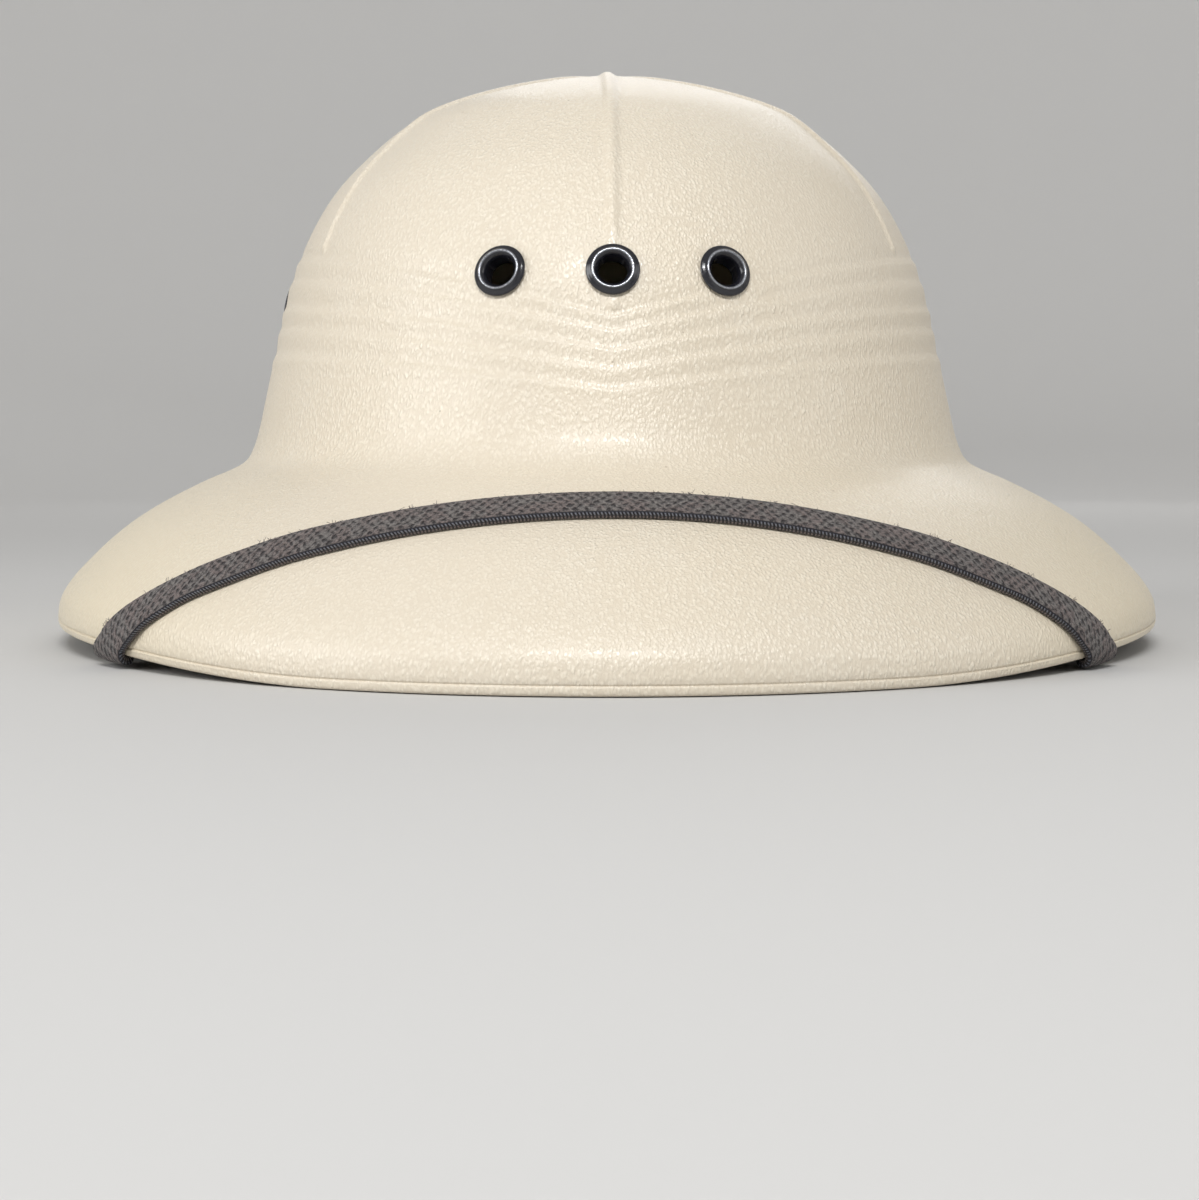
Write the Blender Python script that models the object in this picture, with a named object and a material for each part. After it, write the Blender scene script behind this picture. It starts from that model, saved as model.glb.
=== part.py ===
"""Pith helmet: a moulded shell with six ribs and a folded band, five vent eyelets, and a woven strap that
runs over the front of the brim to two posts inside the crown. Metres, +Z up. The front faces -Y, the rim
stands on Z = 0, and left and right are those of the wearer."""

import math
from collections import namedtuple

import bmesh
import bpy
import numpy as np
from mathutils import Matrix, Vector

GAP = 0.0003  # between pieces that touch

# Shell
BRIM_WIDTH = 0.2892
BRIM_LENGTH = 0.352
CROWN_WIDTH = 0.191  # outside, on the line where crown and brim meet
CROWN_LENGTH = 0.233
CROWN_AHEAD = 0.0035  # middle of the crown, ahead of the middle of the brim
CROWN_TOP = 0.1477  # without the ribs that cross there
CROWN_BASE = 0.0475  # height of the line where crown and brim meet
CROWN_RISE = CROWN_TOP - CROWN_BASE
WALL = 0.002

# Rim
RIM_LIFT = 0.0046  # the rim rises by this at the sides
RIM_FLAT_TURN = math.radians(24.8)  # it lies flat this far round from the front and from the back
RIM_THICKNESS = 0.003
RIM_CHAMFER = 0.001
RIM_THICK_HEIGHT = 0.006
GROOVE_HEIGHT = 0.0022
GROOVE_WIDTH = 0.0009
GROOVE_DEPTH = 0.0004

# Ribs over the dome, and the folds of the moulded band below them
RIB_COUNT = 6
RIB_WIDTH = 0.0058
RIB_HEIGHT = 0.0011
RIB_END_WIDTH = 0.0036
RIB_END_HEIGHT = 0.0005
RIB_MOST_SHARE = 0.4  # near the top, half a rib takes up no more than this of the space between two
DOME_CAP_RADIUS = 0.006  # the ribs run together inside this radius
FOLD_DEPTH = 0.0006  # from hollow to ridge
FOLD_STEP = 0.14  # half the rise of a ridge, as a share of the space between two
FOLD_LEAD = 0.6  # the wall bends in this far above the first ridge, as such a share
FOLD_TAIL = 1.5  # and fades out this far below the last

# Eyelets
EYELET_RADIUS = 0.0062
EYELET_CREST_RADIUS = 0.00465
EYELET_CREST_HEIGHT = 0.0013
EYELET_SHOULDER = 0.7  # height of the flange halfway to its crest, as a share of the crest's
EYELET_HOLE_RADIUS = 0.00335
EYELET_TUBE_WALL = 0.0004
EYELET_BACK_RADIUS = 0.0051
EYELET_BACK_ROOM = 0.0011
EYELET_SEAT_ROOM = 0.00015  # the wall curves away under the flange
EYELET_SEAT_FADE = 0.0025  # ribs and folds fade away over this width around an eyelet
EYELET_RISE = 0.042  # middle of an eyelet above the line where crown and brim meet
EYELET_SPACING = 0.0255
EYELET_SIDE_TURN = math.radians(93.5)  # of the eyelets on the sides

# Strap
STRAP_WIDTH = 0.009
STRAP_THICKNESS = 0.002
STRAP_TURN_LEFT = math.radians(48.7)  # where it passes under the rim
STRAP_TURN_RIGHT = math.radians(51.4)
STRAP_WRAP = math.radians(118)  # it turns this far round the rim's edge
STRAP_WRAP_RADIUS = RIM_THICKNESS / 2 + GAP / 2
STRAP_PAST_POST = 0.0075
STRAP_SLACK = 0.3  # roundness of its free stretches

# Posts that hold the ends of the strap
POST_HEIGHT = 0.056
POST_LENGTH = 0.0075  # from the shell to the strap
POST_RADIUS = 0.002
POST_FOOT_RADIUS = 0.004
POST_FOOT_THICKNESS = 0.0012
POST_HEAD_RADIUS = 0.0038
POST_HEAD_THICKNESS = 0.0012

# Fineness of the mesh
SHARP_ANGLE = math.radians(35)  # edges over this look sharp
GORE_STEPS = 8  # columns of faces between two ribs
DOME_STEPS = 9
FOLD_WALL_STEPS = 3
BRIM_STEPS = 9
CROWN_INSIDE_STEPS = 8
BRIM_INSIDE_STEPS = 6
CURVE_STEPS = 24
EYELET_SIDES = 14
POST_SIDES = 12
STRAP_BRIM_STEPS = 15
STRAP_CROWDING = 0.7  # under 1, the strap's rows are closer together near the rim
STRAP_WRAP_STEPS = 14
STRAP_FREE_STEPS = 9
STRAP_ACROSS = np.linspace(-0.5, 0.5, 7)  # places across the strap, as shares of its width

# Sections of the crown, from its top: half its width as a share of the crown's, and its height as a share
# of the crown's rise.
CrownSection = namedtuple("CrownSection", "out up")
CROWN_SECTIONS = (
    CrownSection(out=0.000, up=1.000),
    CrownSection(out=0.083, up=0.997),
    CrownSection(out=0.165, up=0.986),
    CrownSection(out=0.331, up=0.947),
    CrownSection(out=0.492, up=0.894),
    CrownSection(out=0.584, up=0.847),
    CrownSection(out=0.708, up=0.741),
    CrownSection(out=0.778, up=0.660),
    CrownSection(out=0.839, up=0.554),
    CrownSection(out=0.889, up=0.427),
    CrownSection(out=0.932, up=0.249),
    CrownSection(out=0.956, up=0.146),
    CrownSection(out=0.979, up=0.051),
)

# Sections of the brim: its reach out from the crown as a share of the whole reach, and its drop as a share
# of CROWN_BASE.
BrimSection = namedtuple("BrimSection", "out down")
BRIM_SECTIONS = (
    BrimSection(out=0.000, down=0.000),
    BrimSection(out=0.036, down=0.045),
    BrimSection(out=0.100, down=0.085),
    BrimSection(out=0.224, down=0.145),
    BrimSection(out=0.428, down=0.262),
    BrimSection(out=0.595, down=0.379),
    BrimSection(out=0.723, down=0.494),
    BrimSection(out=0.829, down=0.609),
    BrimSection(out=0.921, down=0.722),
    BrimSection(out=0.984, down=0.837),
    BrimSection(out=1.000, down=0.940),
    BrimSection(out=0.997, down=1.000),
)

# Ridges of the folded band, from the top: height at the sides and back, and at the point of the V in front,
# as shares of the crown's rise, and depth as a share of FOLD_DEPTH.
FoldRidge = namedtuple("FoldRidge", "side front depth")
FOLD_RIDGES = (
    FoldRidge(side=0.510, front=0.315, depth=1.2),
    FoldRidge(side=0.451, front=0.282, depth=0.9),
    FoldRidge(side=0.381, front=0.240, depth=1.0),
    FoldRidge(side=0.327, front=0.197, depth=0.9),
    FoldRidge(side=0.258, front=0.151, depth=1.0),
)
FOLD_DIP_POWER = 1.85  # how the ridges fall from the sides to the V

# Route of the strap over the brim, from the front to either side: its turn as a share of the turn to the
# rim, and its place between the crown (0) and the rim (1). The first row mirrors the third, so that the
# strap runs smoothly over the front.
StrapPoint = namedtuple("StrapPoint", "turn out")
STRAP_ROUTE = (
    StrapPoint(turn=-0.3, out=0.366),
    StrapPoint(turn=0.0, out=0.314),
    StrapPoint(turn=0.3, out=0.366),
    StrapPoint(turn=0.6, out=0.522),
    StrapPoint(turn=0.8, out=0.712),
    StrapPoint(turn=0.9, out=0.846),
    StrapPoint(turn=1.0, out=1.000),
)
NEAR_RIM, AT_RIM = STRAP_ROUTE[-2:]
STRAP_END_SLOPE = (AT_RIM.out - NEAR_RIM.out) / (AT_RIM.turn - NEAR_RIM.turn)

SHELL_COLOUR = (0.82, 0.75, 0.60, 1.0)
EYELET_COLOUR = (0.03, 0.03, 0.035, 1.0)
STRAP_COLOUR = (0.045, 0.038, 0.036, 1.0)
POST_COLOUR = (0.05, 0.05, 0.05, 1.0)


def unit(vector):
    return vector / np.linalg.norm(vector)


def smooth(low, high, value):
    """Smooth step from 0 at low to 1 at high."""
    share = np.clip((value - low) / (high - low), 0.0, 1.0)
    return share * share * (3.0 - 2.0 * share)


def spline(knots, rows, wanted):
    """Smooth curve through rows of numbers, which stand at the knots, read at one place."""
    wanted = min(max(wanted, knots[0]), knots[-1])
    cell = min(int(np.searchsorted(knots, wanted, side="right")) - 1, len(knots) - 2)
    slopes = []
    for k in (cell, cell + 1):
        before, after = max(k - 1, 0), min(k + 1, len(knots) - 1)
        slopes.append((rows[after] - rows[before]) / (knots[after] - knots[before]))
    span = knots[cell + 1] - knots[cell]
    s = (wanted - knots[cell]) / span
    return (
        (2 * s**3 - 3 * s**2 + 1) * rows[cell]
        + (s**3 - 2 * s**2 + s) * span * slopes[0]
        + (3 * s**2 - 2 * s**3) * rows[cell + 1]
        + (s**3 - s**2) * span * slopes[1]
    )


def shell_stations():
    """Half width, reach to the front and to the back, height and share of the rim's lift, from the top."""
    half_width, half_length = CROWN_WIDTH / 2, CROWN_LENGTH / 2
    rows = []
    for s in CROWN_SECTIONS:
        reach = s.out * half_length
        rows.append((s.out * half_width, reach, reach, CROWN_BASE + s.up * CROWN_RISE, 0.0))
    aside = BRIM_WIDTH / 2 - half_width
    ahead = BRIM_LENGTH / 2 - CROWN_AHEAD - half_length
    behind = BRIM_LENGTH / 2 + CROWN_AHEAD - half_length
    for s in BRIM_SECTIONS:
        front, back = half_length + s.out * ahead, half_length + s.out * behind
        rows.append((half_width + s.out * aside, front, back, CROWN_BASE * (1 - s.down), s.down))
    return np.array(rows)


STATIONS = shell_stations()
STEPS_DOWN = np.hypot(np.diff(STATIONS[:, 0]), np.diff(STATIONS[:, 3]))
KNOTS = np.concatenate(([0.0], np.cumsum(STEPS_DOWN)))  # way down the side of the shell, at each station
CROWN_LINE = KNOTS[len(CROWN_SECTIONS)]
RIM_LINE = KNOTS[-1]
FINE_WAYS = np.linspace(0.0, RIM_LINE, len(KNOTS) * CURVE_STEPS)
FINE_ROWS = np.array([spline(KNOTS, STATIONS, way) for way in FINE_WAYS])


def way_at_height(height):
    """Way down the shell to a height, where the rim isn't lifted."""
    return float(np.interp(-height, -FINE_ROWS[:, 3], FINE_WAYS))


def way_at_half_width(half_width):
    """Way down the dome to a half width."""
    return float(np.interp(half_width, FINE_ROWS[:, 0], FINE_WAYS))


def rim_lift(turn):
    return RIM_LIFT * smooth(math.sin(RIM_FLAT_TURN), 1.0, abs(math.sin(turn)))


def shell_point(turn, way):
    """Point of the plain shell outside, at a turn from the front towards +X and a way down from the top."""
    half, front, back, height, lift = spline(KNOTS, STATIONS, way)
    reach = front if math.cos(turn) > 0 else back
    ahead = CROWN_AHEAD + reach * math.cos(turn)
    return np.array((half * math.sin(turn), -ahead, height + lift * rim_lift(turn)))


def slopes_of(surface, turn, way, highest=math.inf):
    """Change of a surface's point for each radian of turn, and for each metre of way."""
    small = 1e-4
    low, high = max(way - small, small), min(way + small, highest)
    round_it = (surface(turn + small, way) - surface(turn - small, way)) / (2 * small)
    down_it = (surface(turn, high) - surface(turn, low)) / (high - low)
    return round_it, down_it


def shell_normal(turn, way):
    """Outward normal of the plain shell."""
    round_it, down_it = slopes_of(shell_point, turn, way, RIM_LINE)
    return unit(np.cross(down_it, round_it))


def turn_rate(turn, way):
    """Distance along the shell for each radian of turn."""
    half, front, back = spline(KNOTS, STATIONS, way)[:3]
    reach = front if math.cos(turn) > 0 else back
    return math.hypot(half * math.cos(turn), reach * math.sin(turn))


FOLD_PLACES = np.arange(-1, len(FOLD_RIDGES) + 2)  # 0 is the first ridge, and it goes on past both ends


def fold_heights(turn):
    """Heights of FOLD_PLACES at a turn."""
    from_front = abs((turn + math.pi) % (2 * math.pi) - math.pi)
    dip = max(0.0, 1.0 - from_front / (math.pi / 2)) ** FOLD_DIP_POWER
    shares = [ridge.side + (ridge.front - ridge.side) * dip for ridge in FOLD_RIDGES]
    above, below = shares[0] - shares[1], shares[-2] - shares[-1]
    shares = [shares[0] + above, *shares, shares[-1] - below, shares[-1] - 2 * below]
    return CROWN_BASE + CROWN_RISE * np.array(shares)


def height_at_fold(turn, place):
    """Height of a place in the folded band."""
    return float(np.interp(place, FOLD_PLACES, fold_heights(turn)))


def place_in_folds(turn, height):
    """Place in the folded band of a height."""
    return float(np.interp(-height, -fold_heights(turn), FOLD_PLACES))


def fold_wave():
    """Places where the folded band's relief changes, and the relief there: each ridge steps outwards."""
    places, reliefs = [-FOLD_LEAD], [0.0]
    for k, ridge in enumerate(FOLD_RIDGES):
        half_depth = ridge.depth * FOLD_DEPTH / 2
        places.extend((k - FOLD_STEP, k + FOLD_STEP))
        reliefs.extend((-half_depth, half_depth))
    return [*places, len(FOLD_RIDGES) - 1 + FOLD_TAIL], [*reliefs, 0.0]


WAVE_PLACES, WAVE_RELIEFS = fold_wave()


def rib_turn(number):
    return 2 * math.pi * number / RIB_COUNT


def rib_share(turn, way):
    """Place down a rib, from 0 at the top of the dome to 1 at the first fold."""
    return min(way / way_at_height(height_at_fold(turn, 0)), 1.0)


def rib_half_width(number, way):
    share = rib_share(rib_turn(number), way)
    return (RIB_WIDTH + (RIB_END_WIDTH - RIB_WIDTH) * share) / 2


def eyelet_seats():
    """Name, middle and outward direction of each eyelet: three in front and one on each side."""
    way = way_at_height(CROWN_BASE + EYELET_RISE)
    aside = math.asin(EYELET_SPACING / spline(KNOTS, STATIONS, way)[0])
    turns = {
        "eyelet_front_middle": 0.0,
        "eyelet_front_left": aside,
        "eyelet_front_right": -aside,
        "eyelet_side_left": EYELET_SIDE_TURN,
        "eyelet_side_right": -EYELET_SIDE_TURN,
    }
    return [(name, shell_point(turn, way), shell_normal(turn, way)) for name, turn in turns.items()]


SEATS = eyelet_seats()


def relief(turn, way, on_rib):
    """Height of the ribs and folds over the plain shell. It fades away around the eyelets."""
    point = shell_point(turn, way)
    place = place_in_folds(turn, point[2])
    height = float(np.interp(place, WAVE_PLACES, WAVE_RELIEFS))
    if on_rib:
        rib = RIB_HEIGHT + (RIB_END_HEIGHT - RIB_HEIGHT) * rib_share(turn, way)
        height += rib * (1 - smooth(-FOLD_LEAD, -FOLD_STEP, place))
    nearest = min(np.linalg.norm(point - seat) for _, seat, _ in SEATS)
    seat_edge = EYELET_RADIUS + GAP
    return height * smooth(seat_edge, seat_edge + EYELET_SEAT_FADE, nearest)


COLUMNS = RIB_COUNT * (GORE_STEPS + 2)


def column_turn(column, way):
    """Turn of a column of the mesh: one runs down each rib, one down each of its edges, others between."""
    number, place = divmod(column, GORE_STEPS + 2)
    rib, following = rib_turn(number), rib_turn(number + 1)
    if place == 0:
        return rib
    most = (following - rib) * RIB_MOST_SHARE
    left = min(rib_half_width(number, way) / turn_rate(rib, way), most)
    right = min(rib_half_width(number + 1, way) / turn_rate(following, way), most)
    return rib + left + (following - right - rib - left) * (place - 1) / GORE_STEPS


def outside_ways(turn):
    """Ways down of the mesh's rows outside: dome, folds, wall, brim, and the groove above the rim."""
    places = WAVE_PLACES[:2]
    for low, high in zip(WAVE_PLACES[2:-1:2], WAVE_PLACES[3::2]):
        places.extend((low, (low + high) / 2, high))
    folds = [way_at_height(height_at_fold(turn, place)) for place in places]
    dome = np.linspace(way_at_half_width(DOME_CAP_RADIUS), folds[0], DOME_STEPS + 1)[:-1]
    wall = np.linspace(folds[-1], CROWN_LINE, FOLD_WALL_STEPS + 1)[1:-1]
    groove = [way_at_height(GROOVE_HEIGHT + share * GROOVE_WIDTH) for share in (0.5, 0.0, -0.5)]
    brim = np.linspace(CROWN_LINE, groove[0], BRIM_STEPS + 1)[:-1]
    return [*dome, *folds, *wall, *brim, *groove, way_at_height(RIM_CHAMFER)]


GROOVE_ROW = -3  # row of outside_ways at the bottom of the groove


def rim_frame(turn):
    """Outer edge of the rim's foot, and the level direction out from it."""
    out = shell_normal(turn, RIM_LINE)
    out[2] = 0.0
    return shell_point(turn, RIM_LINE), unit(out)


def shell_rings():
    """Rings of points of the shell, from the top down outside, under the rim, and up inside to the top."""
    columns = [outside_ways(column_turn(column, CROWN_LINE)) for column in range(COLUMNS)]
    rings = []
    for row in range(len(columns[0])):
        ring = []
        for column in range(COLUMNS):
            way = columns[column][row]
            turn = column_turn(column, way)
            height = relief(turn, way, on_rib=column % (GORE_STEPS + 2) == 0)
            if row == len(columns[0]) + GROOVE_ROW:
                height -= GROOVE_DEPTH
            ring.append(shell_point(turn, way) + shell_normal(turn, way) * height)
        rings.append(ring)
    for depth, rise in (
        (RIM_CHAMFER, 0.0),
        (RIM_THICKNESS - RIM_CHAMFER, 0.0),
        (RIM_THICKNESS, RIM_CHAMFER),
    ):
        frames = [rim_frame(column_turn(column, RIM_LINE)) for column in range(COLUMNS)]
        rings.append([edge - out * depth + np.array((0.0, 0.0, rise)) for edge, out in frames])
    brim_ways = np.linspace(way_at_height(RIM_THICK_HEIGHT), CROWN_LINE, BRIM_INSIDE_STEPS + 1)[:-1]
    crown_ways = np.linspace(CROWN_LINE, way_at_half_width(DOME_CAP_RADIUS), CROWN_INSIDE_STEPS + 1)
    for way in (*brim_ways, *crown_ways):
        turns = [column_turn(column, way) for column in range(COLUMNS)]
        rings.append([shell_point(turn, way) - shell_normal(turn, way) * WALL for turn in turns])
    return rings


def make_object(name, mesh, colour, roughness, metallic=0.0):
    """Object for a mesh, with a material of its own, smooth but for its sharp edges."""
    material = bpy.data.materials.new(name)
    material.use_nodes = True
    shader = material.node_tree.nodes["Principled BSDF"]
    shader.inputs["Base Color"].default_value = colour
    shader.inputs["Roughness"].default_value = roughness
    shader.inputs["Metallic"].default_value = metallic
    mesh.materials.append(material)
    mesh.shade_smooth()
    mesh.set_sharp_from_angle(angle=SHARP_ANGLE)
    item = bpy.data.objects.new(name, mesh)
    bpy.context.scene.collection.objects.link(item)
    return item


def lofted_mesh(name, rings, tips=None):
    """Mesh through closed rings of points. Tips close its ends in two points, else they are flat."""
    build = bmesh.new()
    loops = [[build.verts.new(Vector(point)) for point in ring] for ring in rings]
    for low, high in zip(loops, loops[1:]):
        for k in range(len(low)):
            build.faces.new((low[k - 1], low[k], high[k], high[k - 1]))
    for loop, tip in zip((loops[0], loops[-1]), tips or (None, None)):
        if tip is None:
            build.faces.new(loop)
            continue
        middle = build.verts.new(Vector(tip))
        for k in range(len(loop)):
            build.faces.new((loop[k - 1], loop[k], middle))
    bmesh.ops.recalc_face_normals(build, faces=build.faces)
    mesh = bpy.data.meshes.new(name)
    build.to_mesh(mesh)
    build.free()
    return mesh


def turned_mesh(name, section, sides):
    """Ring turned round Z from a closed section of (radius, height) points."""
    build = bmesh.new()
    loops = []
    for k in range(sides):
        turn = 2 * math.pi * k / sides
        loops.append([build.verts.new((r * math.cos(turn), r * math.sin(turn), z)) for r, z in section])
    for k, loop in enumerate(loops):
        for j in range(len(section)):
            build.faces.new((loops[k - 1][j - 1], loops[k - 1][j], loop[j], loop[j - 1]))
    bmesh.ops.recalc_face_normals(build, faces=build.faces)
    mesh = bpy.data.meshes.new(name)
    build.to_mesh(mesh)
    build.free()
    return mesh


def standing(place, axis):
    """Matrix that stands a piece at a place with its Z along an axis."""
    turn = Vector(axis).to_track_quat("Z", "Y").to_matrix().to_4x4()
    return Matrix.Translation(Vector(place)) @ turn


def cut_hole(item, name, place, axis, radius, length, sides):
    """Cut a round hole through an object, its middle at a place. Its flats stand at the radius."""
    build = bmesh.new()
    corner = radius / math.cos(math.pi / sides)
    size = {"radius1": corner, "radius2": corner, "depth": length}
    bmesh.ops.create_cone(build, cap_ends=True, segments=sides, **size)
    mesh = bpy.data.meshes.new(name)
    build.to_mesh(mesh)
    build.free()
    tool = bpy.data.objects.new(name, mesh)
    bpy.context.scene.collection.objects.link(tool)
    tool.matrix_world = standing(place, axis)
    tool.hide_render = True
    tool.display_type = "WIRE"
    cut = item.modifiers.new(name, "BOOLEAN")
    cut.operation = "DIFFERENCE"
    cut.solver = "EXACT"
    cut.object = tool


def make_shell():
    rings = shell_rings()
    top = shell_point(0.0, 0.0)
    tips = (top + (0.0, 0.0, RIB_HEIGHT), top - (0.0, 0.0, WALL))
    shell = make_object("shell", lofted_mesh("shell", rings, tips), SHELL_COLOUR, roughness=0.5)
    radius = EYELET_HOLE_RADIUS + EYELET_TUBE_WALL + GAP
    for name, seat, axis in SEATS:
        cut_hole(shell, "hole_for_" + name, seat, axis, radius, 6 * WALL, EYELET_SIDES)


def make_eyelets():
    """Eyelets: a rolled flange outside, a tube through the wall, and its end turned back inside."""
    tube = EYELET_HOLE_RADIUS + EYELET_TUBE_WALL
    low = GAP + EYELET_SEAT_ROOM
    shoulder = low + EYELET_CREST_HEIGHT * EYELET_SHOULDER
    inside = -(WALL + EYELET_BACK_ROOM)
    section = (
        (tube, low),
        (EYELET_RADIUS, low),
        ((EYELET_RADIUS + EYELET_CREST_RADIUS) / 2, shoulder),
        (EYELET_CREST_RADIUS, low + EYELET_CREST_HEIGHT),
        ((EYELET_CREST_RADIUS + EYELET_HOLE_RADIUS) / 2, shoulder),
        (EYELET_HOLE_RADIUS, low),
        (EYELET_HOLE_RADIUS, inside - EYELET_TUBE_WALL),
        (EYELET_BACK_RADIUS, inside - EYELET_TUBE_WALL),
        (EYELET_BACK_RADIUS, inside),
        (tube, inside),
    )
    for name, seat, axis in SEATS:
        mesh = turned_mesh(name, section, EYELET_SIDES)
        eyelet = make_object(name, mesh, EYELET_COLOUR, roughness=0.3, metallic=0.8)
        eyelet.matrix_world = standing(seat, axis)


WRAP_LINE = way_at_height(RIM_THICKNESS / 2)  # way down to where the strap starts to turn round the rim


def wrap_point(turn, way):
    """Point of the surface that the strap lies on: the brim, the rim's edge, then straight on inwards."""
    place = shell_point(turn, min(way, WRAP_LINE))
    if way <= WRAP_LINE:
        return place
    radius = STRAP_WRAP_RADIUS
    angle = min((way - WRAP_LINE) / radius, STRAP_WRAP)
    out, up = rim_frame(turn)[1], np.array((0.0, 0.0, 1.0))
    onwards = -out * math.sin(angle) - up * math.cos(angle)
    place += (out * (math.cos(angle) - 1) - up * math.sin(angle)) * radius
    return place + onwards * (way - WRAP_LINE - angle * radius)


def strap_row(turn, way, heading):
    """Points across the strap at a place on wrap_point's surface, and the direction out from it at each."""
    round_it, down_it = slopes_of(wrap_point, turn, way)
    level, steep = np.dot(round_it, round_it), np.dot(down_it, down_it)
    both = np.dot(round_it, down_it)
    along = np.array((level * heading[0] + both * heading[1], both * heading[0] + steep * heading[1]))
    across = np.array((-along[1], along[0]))
    length = np.linalg.norm(across[0] * round_it + across[1] * down_it)
    points, outs = [], []
    for share in STRAP_ACROSS:
        place = np.array((turn, way)) + across * (share * STRAP_WIDTH / length)
        round_it, down_it = slopes_of(wrap_point, *place)
        outs.append(unit(np.cross(down_it, round_it)))
        points.append(wrap_point(*place))
    return np.array(points), np.array(outs)


def route_place(rim_turn, share):
    """Turn and way of the middle of the strap. Past a share of 1 it runs straight on under the rim."""
    shares = [point.turn for point in STRAP_ROUTE]
    outs = np.array([point.out for point in STRAP_ROUTE])
    out = spline(shares, outs, share) + max(share - 1.0, 0.0) * STRAP_END_SLOPE
    return np.array((share * rim_turn, CROWN_LINE + out * (WRAP_LINE - CROWN_LINE)))


def strap_half(rim_turn):
    """Rows of the strap from the front of the brim to just past the rim, at turns towards +X."""
    share_of_way = 1 / (STRAP_END_SLOPE * (WRAP_LINE - CROWN_LINE))
    near = 1.0 - STRAP_WIDTH / 2 * share_of_way
    past = 1.0 + (STRAP_WRAP * STRAP_WRAP_RADIUS + STRAP_WIDTH / 2) * share_of_way
    over_brim = near * np.linspace(0.0, 1.0, STRAP_BRIM_STEPS) ** STRAP_CROWDING
    shares = [*over_brim, *np.linspace(near, past, STRAP_WRAP_STEPS + 1)[1:]]
    route = [route_place(rim_turn, share) for share in shares]
    rows = []
    for k, place in enumerate(route):
        before, after = route[max(k - 1, 0)], route[min(k + 1, len(route) - 1)]
        rows.append(strap_row(*place, after - before))
    return rows


def post_frame():
    """Foot of the left post on the inner wall, and its direction inwards."""
    way = way_at_height(POST_HEIGHT)
    inwards = -shell_normal(math.pi / 2, way)
    return shell_point(math.pi / 2, way) + inwards * WALL, inwards


def free_rows(points, outs, before):
    """Rows of the strap from its last row at the rim to its end on the left post, turning as it goes."""
    foot, inwards = post_frame()
    middle = len(STRAP_ACROSS) // 2
    start, end = points[middle], foot + inwards * POST_LENGTH
    leaving = unit(start - before[middle])
    arriving = end - start
    arriving = unit(arriving - inwards * np.dot(arriving, inwards))
    pull = STRAP_SLACK * np.linalg.norm(end - start)
    shares = np.linspace(0.0, 1.0, STRAP_FREE_STEPS + 1)
    places = []
    for s in shares:
        from_rim = start * (1 - s) ** 3 + 3 * (start + leaving * pull) * s * (1 - s) ** 2
        places.append(from_rim + 3 * (end - arriving * pull) * s**2 * (1 - s) + end * s**3)
    places.append(end + arriving * STRAP_PAST_POST)
    rows = []
    for k in range(1, len(places)):
        share = min(shares[min(k, STRAP_FREE_STEPS)], 1.0)
        along = unit(places[min(k + 1, len(places) - 1)] - places[k - 1])
        out = outs[middle] * (1 - share) + inwards * share
        out = unit(out - along * np.dot(out, along))
        across = np.cross(along, out)
        line = np.array([places[k] + across * part * STRAP_WIDTH for part in STRAP_ACROSS])
        rows.append((line, np.array([out] * len(STRAP_ACROSS))))
    return rows


def strap_side(rim_turn):
    """All rows of one half of the strap, from the front to its end, as if on the wearer's left."""
    rows = strap_half(rim_turn)
    return rows + free_rows(*rows[-1], rows[-2][0])


def make_strap():
    """Strap from one post round the rim, over the front of the brim, round the rim, to the other post."""
    mirror = np.array((-1.0, 1.0, 1.0))
    left = strap_side(STRAP_TURN_LEFT)
    right = [(points * mirror, outs * mirror) for points, outs in strap_side(STRAP_TURN_RIGHT)]
    rings = []
    for points, outs in [*right[::-1], *left[1:]]:
        low = points + outs * GAP
        rings.append([*low, *(low + outs * STRAP_THICKNESS)[::-1]])
    strap = make_object("strap", lofted_mesh("strap", rings), STRAP_COLOUR, roughness=0.9)
    foot, inwards = post_frame()
    radius = POST_RADIUS + GAP
    for name, side in (("left", 1.0), ("right", -1.0)):
        place = (foot + inwards * POST_LENGTH) * (side, 1.0, 1.0)
        axis = inwards * (side, 1.0, 1.0)
        cut_hole(strap, "hole_for_post_" + name, place, axis, radius, 6 * STRAP_THICKNESS, POST_SIDES)


def make_posts():
    """Posts on the inner wall of the crown, each through the end of the strap, with a flat head."""
    head = POST_LENGTH + 2 * GAP + STRAP_THICKNESS
    section = (
        (POST_FOOT_RADIUS, 0.0),
        (POST_FOOT_RADIUS, POST_FOOT_THICKNESS),
        (POST_RADIUS, POST_FOOT_THICKNESS),
        (POST_RADIUS, head),
        (POST_HEAD_RADIUS, head),
        (POST_HEAD_RADIUS, head + POST_HEAD_THICKNESS),
    )
    turns = [2 * math.pi * k / POST_SIDES for k in range(POST_SIDES)]
    rings = [[(r * math.cos(turn), r * math.sin(turn), z) for turn in turns] for r, z in section]
    foot, inwards = post_frame()
    for name, side in (("strap_post_left", 1.0), ("strap_post_right", -1.0)):
        mirror = np.array((side, 1.0, 1.0))
        post = make_object(name, lofted_mesh(name, rings), POST_COLOUR, roughness=0.5)
        post.matrix_world = standing((foot + inwards * GAP) * mirror, inwards * mirror)


def main():
    for item in list(bpy.data.objects):
        bpy.data.objects.remove(item)
    make_shell()
    make_eyelets()
    make_strap()
    make_posts()


main()
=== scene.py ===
import math

import bpy
import numpy as np
from mathutils import Matrix, Vector


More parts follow.
